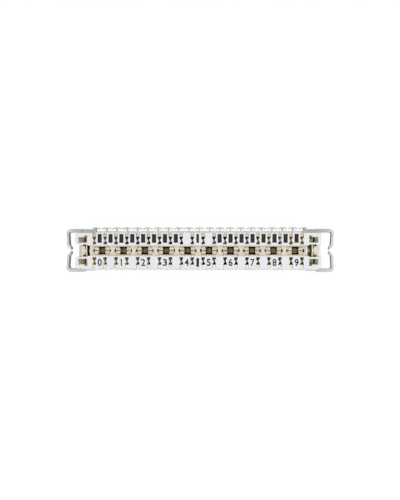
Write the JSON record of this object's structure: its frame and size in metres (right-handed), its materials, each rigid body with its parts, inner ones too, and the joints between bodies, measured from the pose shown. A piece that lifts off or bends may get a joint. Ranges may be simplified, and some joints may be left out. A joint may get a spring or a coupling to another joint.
{
  "type": "punch down wiring block",
  "caption": "Long telecom disconnection block with facing rows of insulation-displacement wire slots, a central plug channel, wire guide hooks, end wire rings and rear rod clips.",
  "frame": {"origin": "on the plane of the rod clips' jaw tips, midway between the two clips and the two contact rows", "axes": "+X along the block, to the right in front view; +Y across the rows, towards the guide hooks; +Z out of the front face that the wires are punched into"},
  "size_m": [0.1238, 0.0207, 0.0385],
  "materials": {
    "housing_plastic": "satin moulded white",
    "tray_plastic": "satin moulded warm light grey",
    "bracket_plastic": "satin moulded light grey",
    "contact_metal": "tin-plated brass strip"
  },
  "bodies": {
    "root": {"contact_housing": "housing_plastic", "base_tray": "tray_plastic", "end_bracket_left": "bracket_plastic", "end_bracket_right": "bracket_plastic", "contact_upper_01": "contact_metal", "contact_lower_01": "contact_metal", "contact_upper_02": "contact_metal", "contact_lower_02": "contact_metal", "contact_upper_03": "contact_metal", "contact_lower_03": "contact_metal", "contact_upper_04": "contact_metal", "contact_lower_04": "contact_metal", "contact_upper_05": "contact_metal", "contact_lower_05": "contact_metal", "contact_upper_06": "contact_metal", "contact_lower_06": "contact_metal", "contact_upper_07": "contact_metal", "contact_lower_07": "contact_metal", "contact_upper_08": "contact_metal", "contact_lower_08": "contact_metal", "contact_upper_09": "contact_metal", "contact_lower_09": "contact_metal", "contact_upper_10": "contact_metal", "contact_lower_10": "contact_metal", "contact_upper_11": "contact_metal", "contact_lower_11": "contact_metal", "contact_upper_12": "contact_metal", "contact_lower_12": "contact_metal", "contact_upper_13": "contact_metal", "contact_lower_13": "contact_metal", "contact_upper_14": "contact_metal", "contact_lower_14": "contact_metal", "contact_upper_15": "contact_metal", "contact_lower_15": "contact_metal", "contact_upper_16": "contact_metal", "contact_lower_16": "contact_metal", "contact_upper_17": "contact_metal", "contact_lower_17": "contact_metal", "contact_upper_18": "contact_metal", "contact_lower_18": "contact_metal", "contact_upper_19": "contact_metal", "contact_lower_19": "contact_metal", "contact_upper_20": "contact_metal", "contact_lower_20": "contact_metal"}
  },
  "joints": []
}
